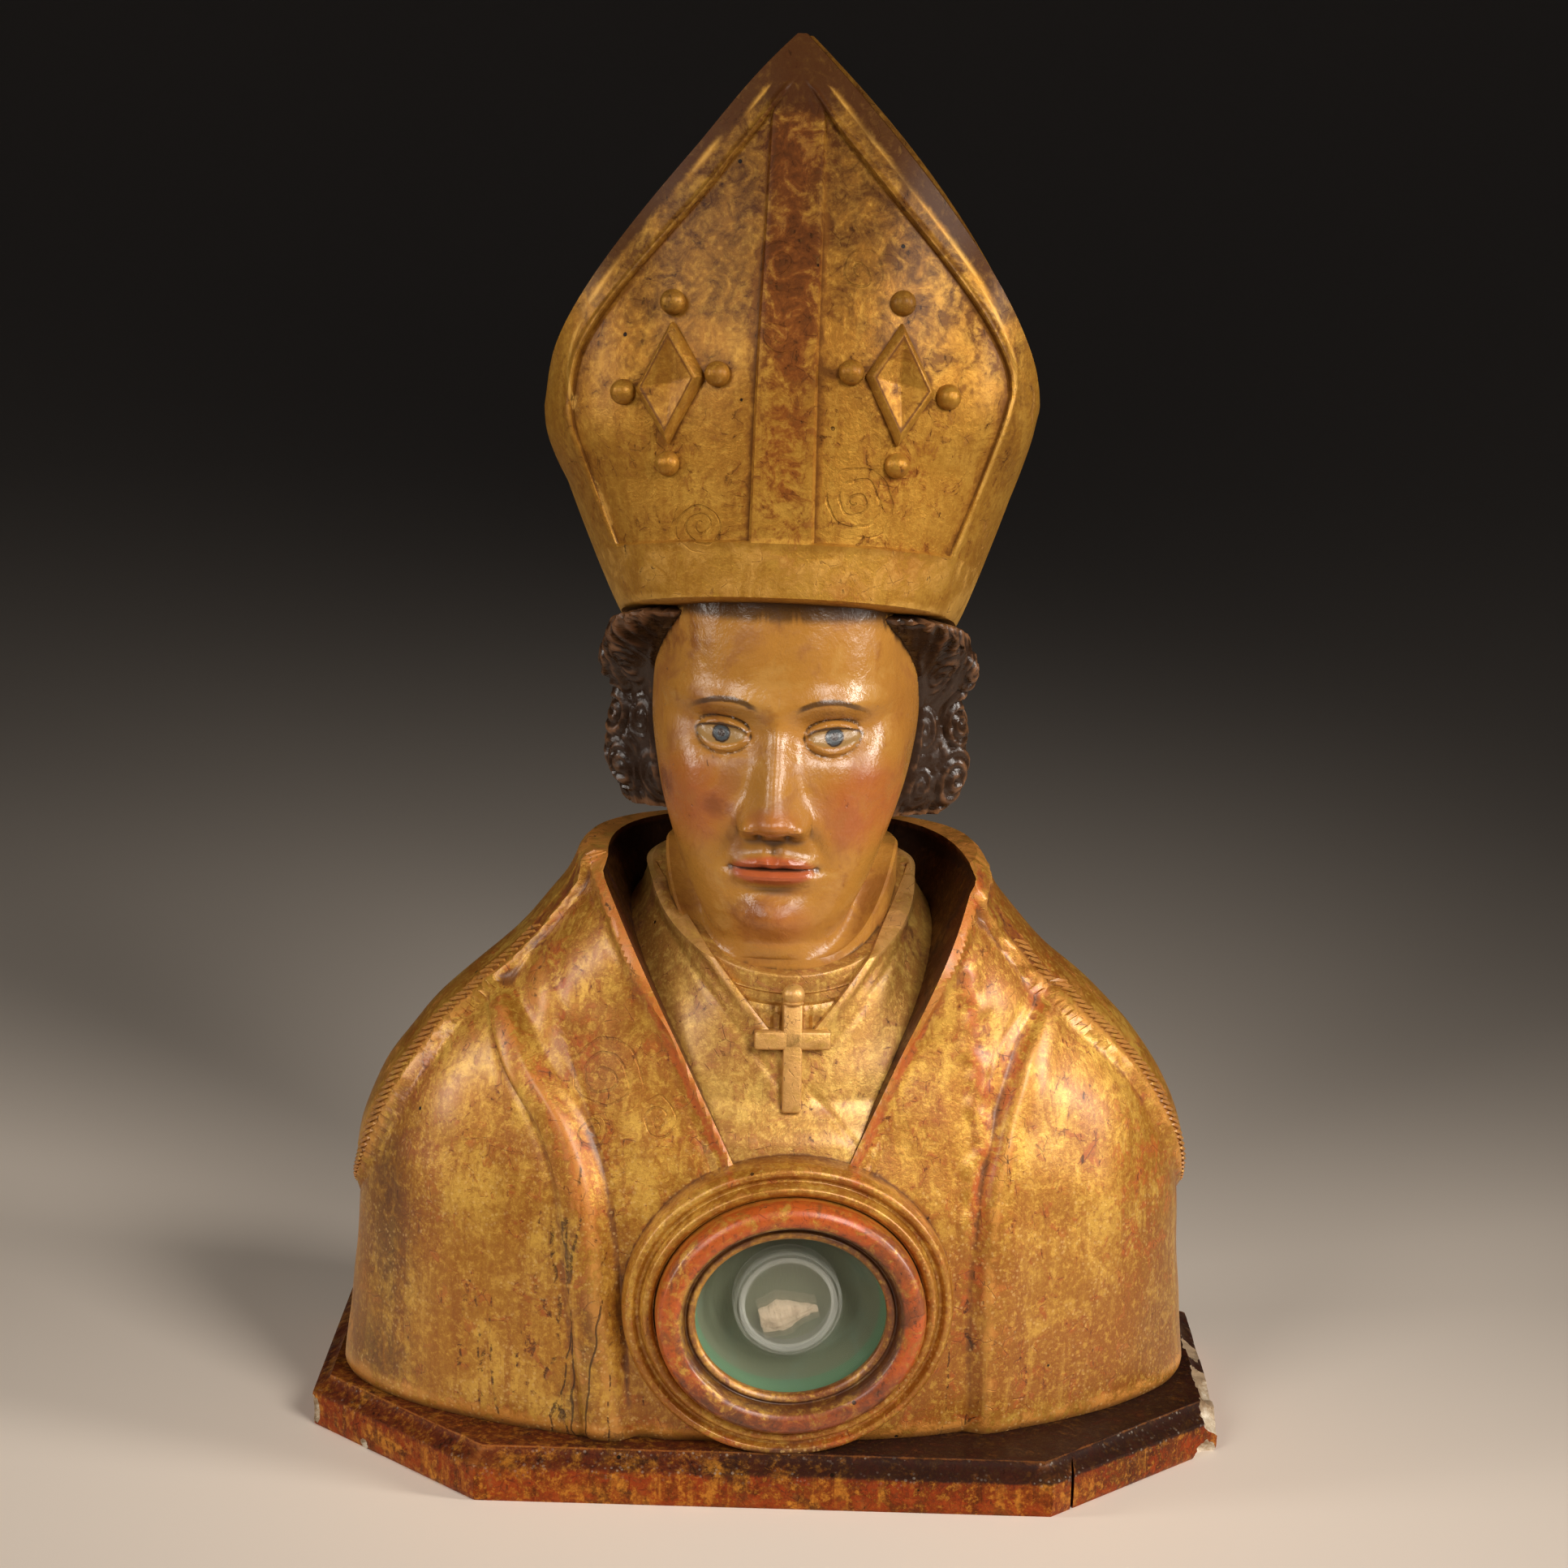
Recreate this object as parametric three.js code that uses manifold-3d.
// A life-size reliquary bust: a beardless bishop in mitre and cope, carved in wood, gilded and painted.
// It stands on a moulded plinth with cut front corners. An oval window in the clasp of the cope shows
// a shallow lined chamber with a relic under a round glass.
// Millimetres, +Z up, the front faces -Y. The origin is the middle of the plinth's underside.

import * as THREE from "three";
import { mergeVertices } from "three/addons/utils/BufferGeometryUtils.js";
import Module from "manifold-3d";

const wasm = await Module();
wasm.setup();

// Clearance between pieces that touch
const FIT_GAP = 0.3;

// Plinth
const PLINTH_WIDTH = 500;
const PLINTH_FRONT = 141;
const PLINTH_BACK = 122;
const PLINTH_HEIGHT = 28;
const PLINTH_CORNER = 98;
const PLINTH_FASCIA = 18;
const PLINTH_SET_IN = 9;
const CHIP_SIZE = 20;

// Body in its cope: its size at the foot, and the height of the collar's top
const BODY_HEIGHT = 300;
const BODY_HALF_WIDTH = 236;
const BODY_FRONT = 128;
const BODY_BACK = 106;
const BODY_TURN = THREE.MathUtils.degToRad(5);
const COLLAR_WALL = 7;
const OPENING_HALF_WIDTH = 96;
const OPENING_RISE = 285;
const OPENING_SLOPE = 0.49;
const FOLD_STEP = 8;
const HOOD_STEP = 5;

// Garments seen inside the cope
const TUNIC_SET_BACK = 13;
const SHIRT_SET_BACK = 18;
const NECKLINE_HALF_WIDTH = 66;
const NECKLINE_FRONT = 84;
const NECKLINE_BACK = 66;
const NECKLINE_RISE = 248;
const NECKLINE_TILT = 44;
const TUNIC_SHOULDER = 6;
const NECKBAND_HEIGHT = 11;
const NECKBAND_RELIEF = 2.5;
const TUNIC_OPENING_SLOPE = 0.575;
const TUNIC_OPENING_RISE = 193;

// Pectoral cross
const CROSS_HEIGHT = 62;
const CROSS_SPAN = 40;
const CROSS_BAR = 10;
const CROSS_RELIEF = 5;
const CROSS_RISE = 182;
const CROSS_KNOB = 12;

// Neck and head
const NECK_HALF_WIDTH = 59;
const NECK_FRONT = 72;
const NECK_BACK = 58;
const CHIN_RISE = 263;
const FACE_HEIGHT = 184;
const HEAD_HALF_WIDTH = 72;
const HEAD_FRONT = 88;
const HEAD_BACK = 86;
const HEAD_TURN = THREE.MathUtils.degToRad(-3);
const JAW_RISE = 48;
const NOSE_RELIEF = 25;
const EYE_SPACING = 60;
const EYE_WIDTH = 29;
const MOUTH_WIDTH = 48;
const NOSTRIL_RELIEF = 7;
const BROW_RELIEF = 4;
const SOCKET_DEPTH = 10;
const EYE_RELIEF = 7;
const CHEEK_RELIEF = 3;
const LIP_RELIEF = 5;
const MOUTH_PARTING = 4;
const CHIN_RELIEF = 5;

// Hair
const HAIR_HALF_WIDTH = 104;
const HAIR_BACK = 104;
const HAIR_RISE = 318;
const HAIR_HEIGHT = 135;
const HAIR_DROP = 12;
const LOCK_COUNT = 18;
const LOCK_RELIEF = 3.5;

// Mitre
const MITRE_HEIGHT = 310;
const MITRE_RISE = 422;
const MITRE_SHOULDER = 119;
const MITRE_RIM_HALF_WIDTH = 90;
const MITRE_HALF_WIDTH = 132;
const MITRE_FRONT = 97;
const MITRE_BACK = 99;
const MITRE_TILT = 0.25;
const HORN_THICKNESS = 13;
const CLEFT_HALF_WIDTH = 33;
const CLEFT_DEPTH = 165;
const BAND_HALF_WIDTH = 15.5;
const BORDER_WIDTH = 16;
const BORDER_SPREAD = 12;
const CIRCLET_HEIGHT = 31;
const BAND_RELIEF = 2.5;
const GEM_RISE = 133;
const GEM_SPACING = 128;
const GEM_HALF_WIDTH = 18;
const GEM_HALF_HEIGHT = 30;
const GEM_RELIEF = 7;
const KNOB_RADIUS = 6.5;

// Window in the clasp: the half sizes of its oval, and how its rings and panes follow on
const WINDOW_HALF_WIDTH = 50;
const WINDOW_HALF_HEIGHT = 42.5;
const WINDOW_RISE = 77;
const WINDOW_CREST = 147;
const FRAME_WIDTH = 21;
const FRAME_DEPTH = 24;
const CLASP_WIDTH = 16;
const CLASP_SET_BACK = 12;
const PANE_THICKNESS = 2.5;
const PANE_SET_BACK = 13;
const REBATE = 4;
const TRAY_DEPTH = 30;
const TRAY_WALL = 3;

// Round glass and the relic in it
const CAPSULE_RADIUS = 29;
const CAPSULE_DEPTH = 15;
const CAPSULE_WALL = 4;
const CAPSULE_FRONT = 2;
const RELIC_LENGTH = 29;
const RELIC_HEIGHT = 17;
const RELIC_THICKNESS = 8;

const BODY_FOOT = PLINTH_HEIGHT + FIT_GAP;
const CHIN = BODY_FOOT + CHIN_RISE;
const MITRE_RIM = BODY_FOOT + MITRE_RISE;
const WINDOW_HEIGHT = BODY_FOOT + WINDOW_RISE;
const PANE_FRONT = -WINDOW_CREST + PANE_SET_BACK;
const TRAY_FRONT = PANE_FRONT + PANE_THICKNESS + 2 * FIT_GAP;
const QUARTER = Math.PI / 2;
const OVAL_STEPS = 30;
const CAPSULE_STEPS = 24;
const OVAL_POWER = 2.2;
const FOLD_EDGE = 0.025;
const BACK_PLACE = 4;

const clamp = THREE.MathUtils.clamp;
const mix = THREE.MathUtils.lerp;
const ease = THREE.MathUtils.smoothstep;

// A hump of height 1 that falls off over a width on both sides.
function hump(distance, width) {
  return Math.exp(-((distance / width) ** 2));
}

// A smooth curve through [at, value] pairs that never swings past them.
function through(...pairs) {
  const last = pairs.length - 1;
  const slopes = [];
  for (let i = 0; i < last; i++) {
    slopes.push((pairs[i + 1][1] - pairs[i][1]) / (pairs[i + 1][0] - pairs[i][0]));
  }
  const tangents = pairs.map((_, i) => {
    if (i === 0) return slopes[0];
    if (i === last) return slopes[last - 1];
    const [before, after] = [slopes[i - 1], slopes[i]];
    return before * after <= 0 ? 0 : (2 * before * after) / (before + after);
  });
  return (at) => {
    const x = clamp(at, pairs[0][0], pairs[last][0]);
    let i = 0;
    while (i < last - 1 && x > pairs[i + 1][0]) i++;
    const step = pairs[i + 1][0] - pairs[i][0];
    const t = (x - pairs[i][0]) / step;
    return (
      pairs[i][1] * (1 + 2 * t) * (1 - t) ** 2 +
      pairs[i + 1][1] * t * t * (3 - 2 * t) +
      step * tangents[i] * t * (1 - t) ** 2 +
      step * tangents[i + 1] * t * t * (t - 1)
    );
  };
}

// Distance from the axis to the edge of an oval, at a plan angle. The front is towards -Y.
function ovalRadius(angle, { halfWidth, front, back, power }) {
  const across = Math.abs(Math.cos(angle)) / halfWidth;
  const along = Math.sin(angle) < 0 ? -Math.sin(angle) / front : Math.sin(angle) / back;
  return (across ** power + along ** power) ** (-1 / power);
}

// Angle from straight ahead, 0 at the front to pi at the back, of a plan angle.
function fromFront(angle) {
  return Math.abs(Math.atan2(Math.cos(angle), -Math.sin(angle)));
}

// Plan angles all the way round, closer together near the front.
function angles(count, crowding) {
  return Array.from({ length: count }, (_, i) => {
    const turn = (2 * Math.PI * i) / count - Math.PI;
    return turn - crowding * Math.sin(turn) - QUARTER;
  });
}

// A closed net of columns and rows, like a globe's, with each crossing where place(column, row) puts it.
// Row 0, at the top, and the last row are each one point.
function net(columns, rows, place) {
  const geometry = new THREE.SphereGeometry(1, columns, rows);
  const position = geometry.getAttribute("position");
  for (let row = 0; row <= rows; row++) {
    for (let column = 0; column <= columns; column++) {
      const [x, y, z] = place(column % columns, row);
      position.setXYZ(row * (columns + 1) + column, x, y, z);
    }
  }
  return geometry;
}

// A stack of closed rings from the top down, with a point above and a point below to close it.
function stack(rings) {
  const middle = (ring) => [0, 1, 2].map((i) => ring.reduce((sum, point) => sum + point[i], 0) / ring.length);
  const all = [rings[0].map(() => middle(rings[0])), ...rings, rings[0].map(() => middle(rings.at(-1)))];
  return net(rings[0].length, all.length - 1, (column, row) => all[row][column]);
}

// A three.js geometry as a solid for joining and cutting, with its faces turned out.
function solid(geometry) {
  const bare = geometry.clone();
  bare.deleteAttribute("normal");
  bare.deleteAttribute("uv");
  const merged = mergeVertices(bare, 1e-3);
  const corners = merged.index.array;
  const vertices = merged.getAttribute("position").array;
  const kept = [];
  let volume = 0;
  for (let i = 0; i < corners.length; i += 3) {
    const [a, b, c] = [corners[i], corners[i + 1], corners[i + 2]];
    if (a === b || b === c || c === a) continue;
    kept.push(a, b, c);
    const [p, q, r] = [a, b, c].map((at) => new THREE.Vector3().fromArray(vertices, 3 * at));
    volume += p.dot(q.cross(r));
  }
  if (volume < 0) kept.reverse();
  const mesh = new wasm.Mesh({ numProp: 3, vertProperties: vertices, triVerts: new Uint32Array(kept) });
  return new wasm.Manifold(mesh);
}

// A solid back as a three.js geometry.
function geometryOf(made) {
  const mesh = made.getMesh();
  const position = new THREE.BufferAttribute(new Float32Array(mesh.vertProperties), 3);
  const geometry = new THREE.BufferGeometry().setAttribute("position", position);
  geometry.setIndex(new THREE.BufferAttribute(new Uint32Array(mesh.triVerts), 1));
  geometry.computeVertexNormals();
  return geometry;
}

function joined(...pieces) {
  return pieces.reduce((whole, piece) => whole.add(piece));
}

// The body: oval sections from the foot to the top of the stand-up collar.
const bodyHalfWidth = through(
  [0, 1],
  [0.21, 0.98],
  [0.41, 0.962],
  [0.5, 0.936],
  [0.573, 0.898],
  [0.657, 0.818],
  [0.74, 0.712],
  [0.82, 0.597],
  [0.89, 0.517],
  [0.935, 0.474],
  [1, 0.437],
);
const bodyFront = through([0, 1], [0.25, 1.02], [0.4, 0.985], [0.61, 0.875], [0.72, 0.83], [1, 0.8]);
const bodyBack = through([0, 1], [0.3, 1.02], [0.6, 0.97], [0.8, 0.9], [1, 0.83]);
const bodyPower = through([0, 1.8], [0.5, 1.95], [1, 2.3]);

function bodySection(z) {
  const share = (z - BODY_FOOT) / BODY_HEIGHT;
  return {
    halfWidth: BODY_HALF_WIDTH * bodyHalfWidth(share),
    front: BODY_FRONT * bodyFront(share),
    back: BODY_BACK * bodyBack(share),
    power: bodyPower(share),
  };
}

// Half width of the cope's front opening at a height
const openingHalfWidth = (z) => OPENING_HALF_WIDTH - OPENING_SLOPE * (BODY_FOOT + OPENING_RISE - z);

// How far from the middle the mantle's folded edge lies on each side, and the depth of the hood's edge.
const leftFold = through(
  [0, 0.36],
  [0.25, 0.4],
  [0.45, 0.43],
  [0.55, 0.475],
  [0.66, 0.57],
  [0.78, 0.64],
  [1, 0.4],
);
const rightFold = through(
  [0, 0.45],
  [0.27, 0.44],
  [0.42, 0.45],
  [0.52, 0.475],
  [0.66, 0.53],
  [0.78, 0.6],
  [1, 0.4],
);
const hoodDepth = through([0.15, 1], [0.2, 0.75], [0.3, 0.3], [0.38, -0.02], [0.6, -0.12], [1, -0.22]);

// Turn from the front at which the mantle's edge is crossed, at a share of the body's height.
function foldTurn(share, side) {
  const section = bodySection(BODY_FOOT + share * BODY_HEIGHT);
  const x = BODY_HALF_WIDTH * (side < 0 ? leftFold(share) : rightFold(share));
  const across = Math.min(x / section.halfWidth, 0.95);
  const y = section.front * (1 - across ** section.power) ** (1 / section.power);
  return Math.atan2(across * section.halfWidth, y);
}

// Carving on the cope. A place across the front counts from 0 in the middle to 1 at the mantle's edge:
// the mantle stands over the front panel, a soft pleat runs beside it, and the hood lies on the back.
function copeRelief(place, y, share) {
  const shown = 1 - ease(share, 0.78, 0.95);
  const mantle = ease(place, 1 - FOLD_EDGE, 1 + FOLD_EDGE) * FOLD_STEP;
  const lip = hump(place - 1.1, 0.1) * 0.45 * FOLD_STEP;
  const pleat = hump(place - 0.78, 0.1) * 0.5 * FOLD_STEP;
  const hood = ease(y / BODY_BACK - hoodDepth(share), -0.03, 0.05) * HOOD_STEP;
  return shown * (mantle + lip + pleat - FOLD_STEP) + hood;
}

// A point of the cope at a place across its front, negative to the left, and a share of its height.
// Places beyond 1 run on round the side and reach the middle of the back at BACK_PLACE.
function copePoint(place, share) {
  const fold = foldTurn(share, place);
  const far = Math.abs(place);
  const turn = far < 1 ? far * fold : mix(fold, Math.PI, (far - 1) / (BACK_PLACE - 1));
  const angle = Math.sign(place) * turn - QUARTER;
  const radius = ovalRadius(angle, bodySection(BODY_FOOT + share * BODY_HEIGHT));
  const out = radius + copeRelief(far, radius * Math.sin(angle), share);
  return [out * Math.cos(angle), out * Math.sin(angle), BODY_FOOT + share * BODY_HEIGHT];
}

// Depth of the body's front surface at a height, in the middle.
function chestFront(z) {
  return -bodySection(z).front;
}

function copeSolid() {
  const panel = [0.14, 0.29, 0.43, 0.57, 0.69, 0.78, 0.87, 1 - FOLD_EDGE];
  const mantle = [1 + FOLD_EDGE, 1.12, 1.25, 1.42, 1.6, 1.78, 1.92, 2.04, 2.16, 2.35, 2.6, 2.9, 3.25, 3.6];
  const side = [...panel, ...mantle];
  const places = [...side.map((place) => -place).reverse(), 0, ...side, BACK_PLACE];
  const levels = [1, 0.96, 0.92, 0.87, 0.82, 0.77, 0.73, 0.69, 0.65, 0.61, 0.57, 0.52, 0.47, 0.41];
  levels.push(0.34, 0.26, 0.17, 0.08, 0);
  return solid(stack(levels.map((share) => places.map((place) => copePoint(place, share)))));
}

// The hollow of the collar, open in front as a wedge between the cope's edges.
function collarHollow() {
  const around = angles(28, 0.1);
  const backWall = through([0.45, -0.66], [0.7, -0.2], [0.85, 0.55], [1, 0.76]);
  const rings = [1.06, 1, 0.96, 0.92, 0.88, 0.8, 0.7, 0.6, 0.5, 0.455].map((share) => {
    const z = BODY_FOOT + share * BODY_HEIGHT;
    const wall = bodySection(z).halfWidth - COLLAR_WALL;
    const halfWidth = Math.min(openingHalfWidth(z), wall);
    const near = -1.6 * BODY_FRONT;
    const far = BODY_BACK * backWall(share);
    const middle = (near + far) / 2;
    const section = { halfWidth, front: middle - near, back: far - middle, power: 3 };
    return around.map((angle) => {
      const radius = ovalRadius(angle, section);
      return [radius * Math.cos(angle), middle + radius * Math.sin(angle), z];
    });
  });
  return solid(stack(rings));
}

// A garment inside the cope: it runs down from a tilted neckline and lies behind the cope's front.
function garment(setBack, shoulder, bandRelief) {
  const around = angles(24, 0.3);
  const bandShare = NECKBAND_HEIGHT / (NECKLINE_RISE - OPENING_SLOPE * BODY_HEIGHT);
  const rows = [
    [0, 0],
    [0, bandRelief],
    [bandShare, bandRelief],
    [bandShare * 1.12, 0],
    [0.32, 0],
    [0.55, 0],
    [0.78, 0],
    [1, 0],
  ];
  const rings = rows.map(([share, relief], row) =>
    around.map((angle) => {
      const tilt = NECKLINE_TILT * ease(fromFront(angle), 0, QUARTER * 1.2);
      const z = mix(BODY_FOOT + NECKLINE_RISE + tilt, BODY_FOOT + 0.4 * BODY_HEIGHT, share);
      const spread = ease(share, 0, 0.6);
      const section = {
        halfWidth: mix(NECKLINE_HALF_WIDTH + shoulder, 0.6 * BODY_HALF_WIDTH, spread),
        front: mix(NECKLINE_FRONT + shoulder, bodySection(z).front - setBack, ease(share, 0, 0.45)),
        back: NECKLINE_BACK + shoulder,
        power: OVAL_POWER,
      };
      const radius = ovalRadius(angle, section) + relief - (row === 0 ? NECKBAND_RELIEF : 0);
      return [radius * Math.cos(angle), radius * Math.sin(angle), z];
    }),
  );
  return solid(stack(rings));
}

// A wedge through the front, apex down, that opens the tunic over the shirt.
function tunicOpening() {
  const rise = BODY_HEIGHT - TUNIC_OPENING_RISE + 20;
  const wedge = new THREE.Shape([
    new THREE.Vector2(0, 0),
    new THREE.Vector2(TUNIC_OPENING_SLOPE * rise, rise),
    new THREE.Vector2(-TUNIC_OPENING_SLOPE * rise, rise),
  ]);
  const geometry = new THREE.ExtrudeGeometry(wedge, { depth: BODY_FRONT, bevelEnabled: false });
  geometry.rotateX(QUARTER).translate(0, 0, BODY_FOOT + TUNIC_OPENING_RISE);
  return solid(geometry);
}

// The cross lies along the tunic and leans with the chest.
function crossSolid() {
  const half = CROSS_BAR / 2;
  const arm = CROSS_SPAN / 2;
  const bar = (x0, z0, x1, z1) =>
    new THREE.Shape([
      new THREE.Vector2(x0, z0),
      new THREE.Vector2(x1, z0),
      new THREE.Vector2(x1, z1),
      new THREE.Vector2(x0, z1),
    ]);
  const depth = 3 * CROSS_RELIEF;
  const flat = { depth, bevelEnabled: false };
  const armHeight = 0.68 * CROSS_HEIGHT;
  const upright = solid(new THREE.ExtrudeGeometry(bar(-half, 0, half, CROSS_HEIGHT), flat));
  const across = solid(new THREE.ExtrudeGeometry(bar(-arm, armHeight - half, arm, armHeight + half), flat));
  const knob = new THREE.SphereGeometry(CROSS_KNOB / 2, 8, 5);
  knob.translate(0, CROSS_HEIGHT + 0.2 * CROSS_KNOB, depth - CROSS_RELIEF);
  const foot = BODY_FOOT + CROSS_RISE;
  const footDepth = chestFront(foot) + TUNIC_SET_BACK;
  const topDepth = chestFront(foot + CROSS_HEIGHT) + TUNIC_SET_BACK;
  const lean = Math.atan2(topDepth - footDepth, CROSS_HEIGHT);
  const place = new THREE.Matrix4()
    .makeTranslation(0, footDepth - CROSS_RELIEF + depth, foot)
    .multiply(new THREE.Matrix4().makeRotationX(QUARTER - lean));
  return joined(upright, across, solid(knob)).transform(place.elements);
}

// An oval ring or disc round the window's axis, from [beyond the window's edge, depth] corners.
// A lathe turns it, and its height is then brought in so that every ring keeps its width all round.
function oval(corners, recede = 0) {
  const points = corners.map(([beyond, y]) => new THREE.Vector2(WINDOW_HALF_WIDTH + beyond, y));
  const geometry = new THREE.LatheGeometry(points, OVAL_STEPS);
  const position = geometry.getAttribute("position");
  const lower = WINDOW_HALF_WIDTH - WINDOW_HALF_HEIGHT;
  for (let i = 0; i < position.count; i++) {
    const [x, y, z] = [position.getX(i), position.getY(i), position.getZ(i)];
    const radius = Math.hypot(x, z);
    const height = radius < 1e-6 ? 0 : z * (1 - (lower * Math.min(1, radius / WINDOW_HALF_WIDTH)) / radius);
    const bend = recede * (x / (WINDOW_HALF_WIDTH + FRAME_WIDTH + CLASP_WIDTH)) ** 2;
    position.setXYZ(i, x, y + bend, height + WINDOW_HEIGHT);
  }
  return solid(geometry);
}

const AXIS = -WINDOW_HALF_WIDTH;

// The raised clasp that carries the window: two gilt ridges round the frame's seat.
function claspSolid() {
  const outer = FRAME_WIDTH + CLASP_WIDTH;
  const face = -WINDOW_CREST + CLASP_SET_BACK;
  return oval(
    [
      [AXIS, -0.4 * BODY_FRONT],
      [outer, -0.4 * BODY_FRONT],
      [outer, face + 5],
      [outer - 3, face + 1.5],
      [outer - 6, face + 2],
      [outer - 8, face + 4.5],
      [outer - 11, face],
      [AXIS, face],
    ],
    0.06 * BODY_FRONT,
  );
}

// Everything below the figure's flat foot, to be cut away.
function belowFoot() {
  const block = new THREE.BoxGeometry(3 * BODY_HALF_WIDTH, 3 * BODY_HALF_WIDTH, PLINTH_HEIGHT);
  return solid(block.translate(0, 0, BODY_FOOT - PLINTH_HEIGHT / 2));
}

// What the window, its frame and the tray need cut out of the body.
function windowPocket() {
  const seat = FRAME_WIDTH + FIT_GAP;
  const chamber = REBATE + FIT_GAP;
  const frameBack = -WINDOW_CREST + FRAME_DEPTH + FIT_GAP;
  return oval([
    [AXIS, -1.5 * WINDOW_CREST],
    [seat, -1.5 * WINDOW_CREST],
    [seat, frameBack],
    [chamber, frameBack],
    [chamber, TRAY_FRONT + TRAY_DEPTH + FIT_GAP],
    [AXIS, TRAY_FRONT + TRAY_DEPTH + FIT_GAP],
  ]);
}

function frameSolid() {
  const crest = -WINDOW_CREST;
  const rebate = REBATE + FIT_GAP;
  const back = crest + FRAME_DEPTH;
  return oval([
    [0, PANE_FRONT - FIT_GAP],
    [0, PANE_FRONT - 3],
    [2, crest + 7.5],
    [4, crest + 8.5],
    [6.5, crest + 4],
    [9, crest + 1],
    [12, crest],
    [16, crest + 1],
    [FRAME_WIDTH - 2, crest + 5],
    [FRAME_WIDTH, crest + 9.5],
    [FRAME_WIDTH, back],
    [rebate, back],
    [rebate, PANE_FRONT - FIT_GAP],
    [0, PANE_FRONT - FIT_GAP],
  ]);
}

function paneSolid() {
  const back = PANE_FRONT + PANE_THICKNESS;
  return oval([
    [AXIS, PANE_FRONT],
    [REBATE, PANE_FRONT],
    [REBATE, back],
    [AXIS, back],
  ]);
}

function traySolid() {
  const back = TRAY_FRONT + TRAY_DEPTH;
  const inside = REBATE - TRAY_WALL;
  return oval([
    [AXIS, back - TRAY_WALL],
    [inside, back - TRAY_WALL],
    [inside, TRAY_FRONT],
    [REBATE, TRAY_FRONT],
    [REBATE, back],
    [AXIS, back],
  ]);
}

// The round glass: a shallow cup, mouth against the tray's back.
function capsuleSolid() {
  const mouth = TRAY_FRONT + TRAY_DEPTH - TRAY_WALL - FIT_GAP;
  const face = mouth - CAPSULE_DEPTH;
  const inside = CAPSULE_RADIUS - CAPSULE_WALL;
  const points = [
    [0, face],
    [CAPSULE_RADIUS - 2, face],
    [CAPSULE_RADIUS, face + 2],
    [CAPSULE_RADIUS, mouth],
    [inside, mouth],
    [inside, face + CAPSULE_FRONT],
    [0, face + CAPSULE_FRONT],
  ].map(([radius, y]) => new THREE.Vector2(radius, y));
  return solid(new THREE.LatheGeometry(points, CAPSULE_STEPS)).translate(0, 0, WINDOW_HEIGHT);
}

// The relic: a worn splinter of bone, fixed to the tray's back in the lower half of the round glass.
function relicSolid() {
  const back = TRAY_FRONT + TRAY_DEPTH - TRAY_WALL - FIT_GAP;
  const geometry = new THREE.SphereGeometry(0.5, 10, 6);
  const position = geometry.getAttribute("position");
  for (let i = 0; i < position.count; i++) {
    const [x, y, z] = [position.getX(i), position.getY(i), position.getZ(i)];
    const worn = 1 + 0.12 * Math.sin(9 * x + 4 * z) + 0.08 * Math.cos(11 * y - 5 * z);
    position.setXYZ(i, x * RELIC_LENGTH * worn, z * RELIC_THICKNESS, y * RELIC_HEIGHT * worn);
  }
  geometry.rotateY(-0.35).translate(0, back - RELIC_THICKNESS / 2, WINDOW_HEIGHT - 0.35 * CAPSULE_RADIUS);
  return solid(geometry);
}

// The head's plain form at a share of the face's height, from the chin at 0 to the hairline at 1.
const headHalfWidth = through(
  [0, 0.64],
  [0.1, 0.82],
  [0.25, 0.95],
  [0.5, 1],
  [0.8, 0.98],
  [1, 0.95],
  [1.5, 0.8],
);
const headFront = through(
  [0, 0.93],
  [0.1, 1.02],
  [0.19, 0.96],
  [0.24, 1],
  [0.35, 0.97],
  [0.6, 0.95],
  [0.68, 1],
  [1, 0.95],
);

// How far the ridge of the nose stands out, up the face
const noseRun = through(
  [0.3, 0],
  [0.32, 0.5],
  [0.365, 1],
  [0.48, 0.62],
  [0.6, 0.22],
  [0.68, 0.06],
  [0.72, 0],
);

// Features of the face at a place across it and a share of its height: how far each stands out.
function faceRelief(x, share) {
  const side = Math.abs(x);
  const eye = EYE_SPACING / 2;
  const noseWidth = mix(13, 7, ease(share, 0.36, 0.6));
  const nose = NOSE_RELIEF * noseRun(share) * hump(x, noseWidth);
  const wings = NOSTRIL_RELIEF * hump(side - 13, 5) * hump(share - 0.35, 0.035);
  const brow = BROW_RELIEF * hump(side - 26, 22) * hump(share - 0.68, 0.045);
  const socket = -SOCKET_DEPTH * hump(side - 0.98 * eye, 0.6 * EYE_WIDTH) * hump(share - 0.6, 0.055);
  const ballReach = ((side - eye) / (0.5 * EYE_WIDTH)) ** 2 + ((share - 0.592) / 0.05) ** 2;
  const ball = EYE_RELIEF * Math.sqrt(Math.max(0, 1 - ballReach));
  const cheek = CHEEK_RELIEF * hump(side - 45, 18) * hump(share - 0.44, 0.12);
  const mouth = hump(x, 0.42 * MOUTH_WIDTH);
  const upperLip = 0.9 * LIP_RELIEF * mouth * hump(share - 0.245, 0.02);
  const lowerLip = LIP_RELIEF * mouth * hump(share - 0.195, 0.022);
  const parting = -MOUTH_PARTING * hump(x, 0.5 * MOUTH_WIDTH) * hump(share - 0.221, 0.009);
  const chin = CHIN_RELIEF * hump(x, 17) * hump(share - 0.06, 0.055);
  return nose + wings + brow + socket + ball + cheek + upperLip + lowerLip + parting + chin;
}

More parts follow.
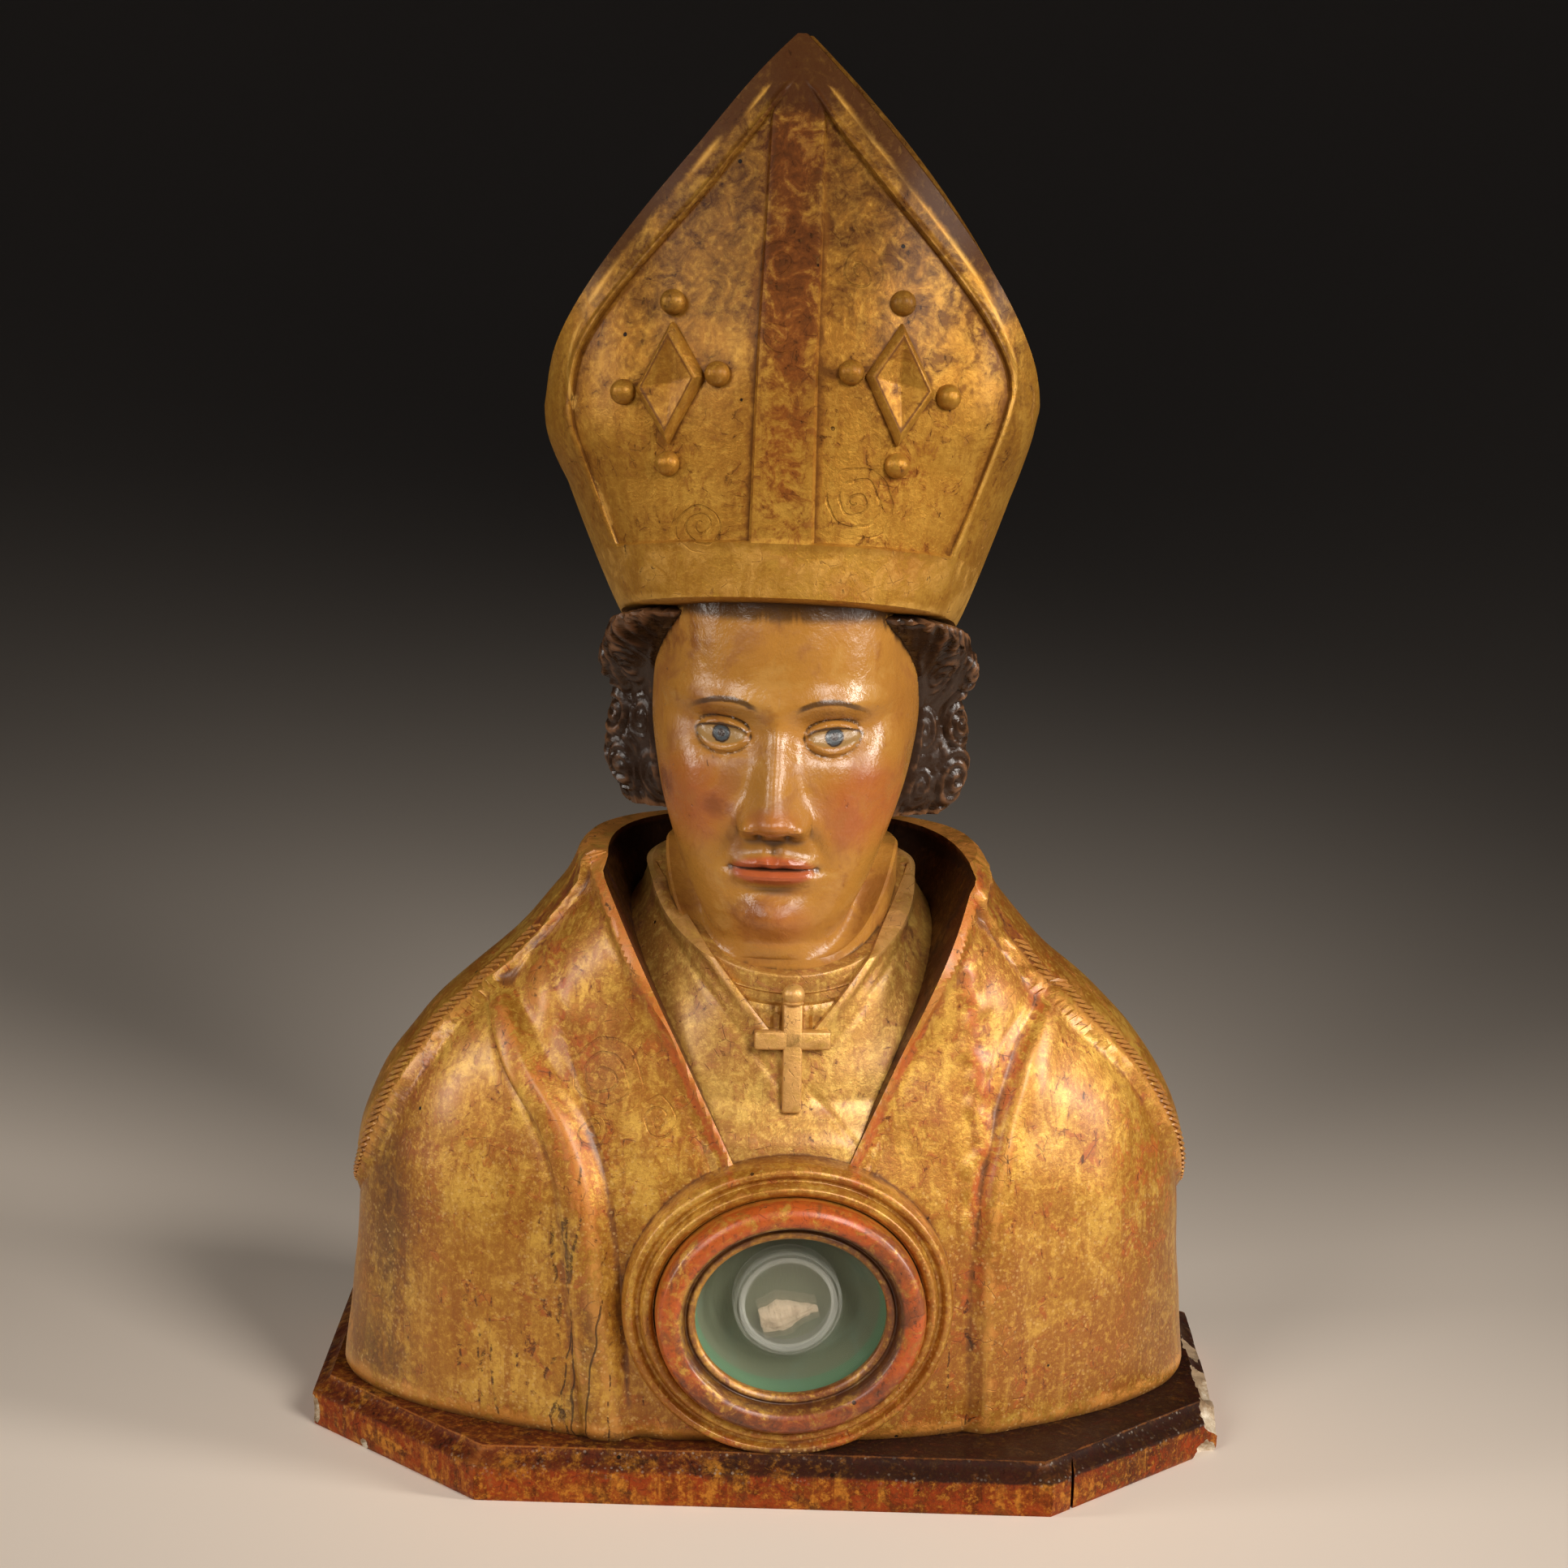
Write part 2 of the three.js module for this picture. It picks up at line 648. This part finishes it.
function headPoint(angle, share) {
  const rise = JAW_RISE * ease(fromFront(angle), 0.3, 1.5) * ease(1 - share, 0, 1);
  const section = {
    halfWidth: HEAD_HALF_WIDTH * headHalfWidth(share),
    front: HEAD_FRONT * headFront(share),
    back: HEAD_BACK,
    power: OVAL_POWER,
  };
  const radius = ovalRadius(angle, section);
  const x = radius * Math.cos(angle);
  const facing = 1 - ease(fromFront(angle), 1, 1.5);
  const out = radius + facing * faceRelief(x, share);
  return [out * Math.cos(angle), out * Math.sin(angle), CHIN + share * FACE_HEIGHT + rise];
}

function neckPoint(angle, z) {
  const section = { halfWidth: NECK_HALF_WIDTH, front: NECK_FRONT, back: NECK_BACK, power: OVAL_POWER };
  const radius = ovalRadius(angle, section);
  return [radius * Math.cos(angle), radius * Math.sin(angle), z];
}

function headSolid() {
  const around = angles(34, 0.62);
  const shares = [1.2, 1, 0.86, 0.76, 0.71, 0.675, 0.645, 0.618, 0.592, 0.565, 0.535, 0.49, 0.44, 0.4, 0.37];
  shares.push(0.345, 0.32, 0.29, 0.262, 0.24, 0.221, 0.2, 0.182, 0.155, 0.115, 0.07, 0.025);
  const rings = shares.map((share) => around.map((angle) => headPoint(angle, share)));
  const chinNeck = around.map((angle) => {
    const jaw = headPoint(angle, 0)[2];
    return neckPoint(angle, jaw - 4);
  });
  const neckFoot = around.map((angle) => neckPoint(angle, BODY_FOOT + 0.7 * BODY_HEIGHT));
  return solid(stack([...rings, chinNeck, neckFoot]));
}

// Hair: a mass round the sides and back in two tiers of waves, with its front edge inside the temples.
const hairWidth = through([0, 0.78], [0.12, 0.93], [0.3, 1], [0.46, 0.94], [0.62, 1], [0.8, 0.97], [1, 0.86]);
const hairEdge = through([0, 1.25], [0.5, 1.1], [0.8, 0.95], [1, 0.78]);

function hairPoint(angle, share) {
  const turn = fromFront(angle);
  const tier = hairWidth(clamp(share + 0.07 * Math.sin(5 * turn), 0, 1));
  const section = {
    halfWidth: HAIR_HALF_WIDTH * tier,
    front: 0.9 * HAIR_HALF_WIDTH,
    back: HAIR_BACK * mix(hairWidth(0.3), tier, 0.5),
    power: OVAL_POWER,
  };
  const nape = ease(turn, 1.6, 2.4) * ease(0.5 - share, 0, 0.5) * HAIR_DROP;
  const z = BODY_FOOT + HAIR_RISE + share * HAIR_HEIGHT - nape;
  const sway = 1.5 * Math.sin(2.2 * Math.PI * share) - 1.2 * share;
  const locks = LOCK_RELIEF * (2 * Math.abs(Math.sin((LOCK_COUNT / 2) * turn + sway)) - 1);
  const shown = ease(turn, hairEdge(share) - 0.08, hairEdge(share) + 0.12);
  const hidden = 0.8 * HEAD_HALF_WIDTH;
  const mass = ovalRadius(angle, section) + locks;
  const tucked = ease(z - mitreHeight(0, mass * Math.sin(angle)), -5, 4);
  const radius = mix(hidden, mass, shown * (1 - tucked));
  return [radius * Math.cos(angle), radius * Math.sin(angle), z];
}

function hairSolid() {
  const around = angles(56, -0.1);
  const shares = [1, 0.87, 0.75, 0.63, 0.52, 0.41, 0.3, 0.19, 0.08, 0];
  return solid(stack(shares.map((share) => around.map((angle) => hairPoint(angle, share)))));
}

// The mitre's outline from in front: it widens to its shoulders, then two arcs meet at the tip.
function mitreHalfWidth(share) {
  const shoulder = MITRE_SHOULDER / MITRE_HEIGHT;
  if (share < shoulder) {
    return mix(MITRE_RIM_HALF_WIDTH, MITRE_HALF_WIDTH, Math.max(0, share / shoulder) ** 0.9);
  }
  const up = Math.min(1, (share - shoulder) / (1 - shoulder));
  return MITRE_HALF_WIDTH * (1 - up ** 1.5);
}

const mitreDepth = through([0, 1], [0.38, 0.92], [0.7, 0.66], [0.9, 0.46], [1, 0.36]);

// Depth of the mitre's front or back surface from its middle, at a place across it.
function hornDepth(x, share, back) {
  const shoulder = MITRE_SHOULDER / MITRE_HEIGHT;
  const tube = share < shoulder ? mitreHalfWidth(share) : 1.015 * MITRE_HALF_WIDTH;
  const round = Math.max(0, 1 - Math.min(1, Math.abs(x) / tube) ** OVAL_POWER) ** (1 / OVAL_POWER);
  return (back ? MITRE_BACK : MITRE_FRONT) * mitreDepth(share) * round;
}

function mitreHeight(share, y) {
  return MITRE_RIM + share * MITRE_HEIGHT - y * MITRE_TILT * (1 - ease(share, 0, 0.9));
}

// Places across one face of the mitre: outline, border, panel, central band, and mirrored again.
// Each has its distance from the middle, as a rule of the half width there, and whether it is raised.
function mitreStops(share) {
  const half = Math.max(mitreHalfWidth(share), 2);
  const border = BORDER_WIDTH + BORDER_SPREAD * ease(share, 0.4, 0.8);
  const inner = Math.max(half - border, 0.3 * half);
  const band = Math.min(BAND_HALF_WIDTH, 0.55 * inner);
  const lip = Math.min(2, 0.1 * (inner - band));
  const stops = [
    [half, 1],
    [0.985 * half, 1],
    [mix(half, inner, 0.5), 1],
    [inner, 1],
    [inner - lip, 0],
    [mix(inner, band, 0.5), 0],
    [band + lip, 0],
    [band, 1],
  ];
  const mirrored = stops.map(([x, raised]) => [-x, raised]).reverse();
  return [...stops, ...mirrored];
}

function mitreSolid() {
  const circlet = CIRCLET_HEIGHT / MITRE_HEIGHT;
  const shoulder = MITRE_SHOULDER / MITRE_HEIGHT;
  const above = [0.99, 0.93, 0.86, 0.77, 0.67, 0.56, 0.44, 0.32, 0.2, 0.1, 0.04, 0];
  const below = [0.8, 0.45, 0];
  const levels = above.map((part) => mix(shoulder, 1, part));
  levels.push(...below.map((part) => mix(circlet + 0.006, shoulder, part)), circlet, 0);
  const rings = levels.map((share) => {
    const inCirclet = share <= circlet ? 1 : 0;
    const face = (back) =>
      mitreStops(share).map(([x, raised]) => {
        const relief = BAND_RELIEF * Math.max(raised, inCirclet);
        const depth = hornDepth(x, share, back) + relief;
        const y = back ? depth : -depth;
        return [x, y, mitreHeight(share, y)];
      });
    const front = face(false).reverse();
    const back = face(true);
    return [...front, ...back];
  });
  return solid(stack(rings));
}

// The valley between the two horns.
function cleftSolid() {
  const floor = 1 - CLEFT_DEPTH / MITRE_HEIGHT;
  const count = 14;
  const rings = [1.4, 1, 0.8, 0.6, 0.42, 0.28, 0.16, 0.07, 0.02, 0].map((part) => {
    const share = mix(floor, 1, part);
    const face = (back) =>
      Array.from({ length: count + 1 }, (_, i) => {
        const x = (mitreHalfWidth(share) + BORDER_WIDTH / 3) * (1 - (2 * i) / count);
        const inside = hornDepth(x, Math.min(share, 1), back) - HORN_THICKNESS;
        const narrow = CLEFT_HALF_WIDTH * Math.sin(QUARTER * clamp(part / 0.3, 0.05, 1));
        const depth = clamp(inside, 1, narrow);
        return [x, back ? depth : -depth, MITRE_RIM + share * MITRE_HEIGHT];
      });
    return [...face(false).reverse(), ...face(true)];
  });
  return solid(stack(rings));
}

// The point of the front horn's surface at a place across it and a height.
function hornPoint(x, z) {
  let share = (z - MITRE_RIM) / MITRE_HEIGHT;
  let y = 0;
  for (let i = 0; i < 6; i++) {
    y = -hornDepth(x, share, false);
    share += (z - mitreHeight(share, y)) / MITRE_HEIGHT;
  }
  return new THREE.Vector3(x, y, z);
}

// One jewel: a lozenge with a sunk middle and a knob off each corner, standing off the front horn.
function jewelSolid(side) {
  const x = (side * GEM_SPACING) / 2;
  const z = MITRE_RIM + GEM_RISE;
  const reach = GEM_HALF_HEIGHT + 1.6 * KNOB_RADIUS;
  const spread = GEM_HALF_WIDTH + KNOB_RADIUS;
  const [left, right] = [hornPoint(x - spread, z), hornPoint(x + spread, z)];
  const [low, high] = [hornPoint(x, z - reach), hornPoint(x, z + reach)];
  const across = right.clone().sub(left).normalize();
  const up = high.clone().sub(low).normalize();
  const out = across.clone().cross(up).normalize();
  const profile = [
    [0, -4],
    [1.04, -4],
    [1, 0],
    [0.72, GEM_RELIEF],
    [0.5, GEM_RELIEF],
    [0.3, 0.4 * GEM_RELIEF],
    [0, 0.3 * GEM_RELIEF],
  ].map(([radius, height]) => new THREE.Vector2(radius, height));
  const lozenge = new THREE.LatheGeometry(profile, 4);
  lozenge.scale(GEM_HALF_WIDTH, 1, GEM_HALF_HEIGHT);
  lozenge.applyMatrix4(new THREE.Matrix4().makeBasis(across, out, up.clone().negate()));
  const middle = hornPoint(x, z);
  lozenge.translate(middle.x, middle.y, middle.z);
  const knobs = [left, right, low, high].map((spot) => {
    const ball = new THREE.SphereGeometry(KNOB_RADIUS, 7, 4);
    return solid(ball.translate(spot.x, spot.y - 0.15 * KNOB_RADIUS, spot.z));
  });
  return joined(solid(lozenge), ...knobs);
}

// The carved figure in one block
function bustSolid() {
  const turnBody = new THREE.Matrix4().makeRotationZ(BODY_TURN).elements;
  const turnHead = new THREE.Matrix4().makeRotationZ(HEAD_TURN).elements;
  const tunic = garment(TUNIC_SET_BACK, TUNIC_SHOULDER, 0).subtract(tunicOpening());
  const shirt = garment(SHIRT_SET_BACK, 0, NECKBAND_RELIEF);
  const body = joined(copeSolid().subtract(collarHollow()), tunic, shirt, crossSolid(), claspSolid());
  const mitre = mitreSolid().subtract(cleftSolid());
  const head = joined(headSolid(), hairSolid(), mitre, jewelSolid(-1), jewelSolid(1));
  const standing = body.subtract(windowPocket()).subtract(belowFoot());
  return joined(standing.transform(turnBody), head.transform(turnHead));
}

// The plinth: one outline with cut front corners, stepped in above its lower band, with a broken corner.
function plinthSolid() {
  const outline = (inset, z) => {
    const half = PLINTH_WIDTH / 2 - inset;
    const front = -PLINTH_FRONT + inset;
    const corner = PLINTH_CORNER - inset * (2 - Math.SQRT2);
    const back = PLINTH_BACK - inset;
    return [
      [-half, back, z],
      [-half, front + corner, z],
      [-half + corner, front, z],
      [half - corner, front, z],
      [half, front + corner, z],
      [half, back, z],
    ];
  };
  const rise = PLINTH_HEIGHT - PLINTH_FASCIA;
  const rings = [
    outline(PLINTH_SET_IN, PLINTH_HEIGHT),
    outline(PLINTH_SET_IN, PLINTH_FASCIA + 0.7 * rise),
    outline(0.7 * PLINTH_SET_IN, PLINTH_FASCIA + 0.35 * rise),
    outline(0.2 * PLINTH_SET_IN, PLINTH_FASCIA + 0.1 * rise),
    outline(0, PLINTH_FASCIA - 2),
    outline(0, 2),
    outline(1, 0),
  ];
  const chip = new THREE.IcosahedronGeometry(CHIP_SIZE, 1);
  const corner = PLINTH_WIDTH / 2;
  chip.scale(0.5, 1.1, 0.45).translate(corner + 1, -PLINTH_FRONT + PLINTH_CORNER + 1, PLINTH_HEIGHT - 5);
  return solid(stack(rings)).subtract(solid(chip));
}

// Finishes
const finish = (color, roughness, metalness = 0) =>
  new THREE.MeshStandardMaterial({ color, roughness, metalness, flatShading: true });
const gilding = finish(0x9a6a22, 0.45, 0.4);
const redWood = finish(0x5a2a14, 0.55);
const paleGlass = new THREE.MeshStandardMaterial({
  color: 0xdfeae4,
  roughness: 0.05,
  transparent: true,
  opacity: 0.3,
});
const greenLining = finish(0x2f6b4c, 0.85);
const bone = finish(0xcbb59a, 0.7);

const model = new THREE.Group();

// Adds a named piece, turned about the vertical axis with the part of the figure that it belongs to.
function add(name, made, material, turn = 0) {
  const mesh = new THREE.Mesh(geometryOf(made), material);
  mesh.name = name;
  mesh.rotation.z = turn;
  model.add(mesh);
}

add("plinth", plinthSolid(), redWood);
add("bust", bustSolid(), gilding);
add("window_frame", frameSolid(), gilding, BODY_TURN);
add("window_glass", paneSolid(), paleGlass, BODY_TURN);
add("relic_tray", traySolid(), greenLining, BODY_TURN);
add("relic_capsule", capsuleSolid(), paleGlass, BODY_TURN);
add("relic", relicSolid(), bone, BODY_TURN);

export default model;
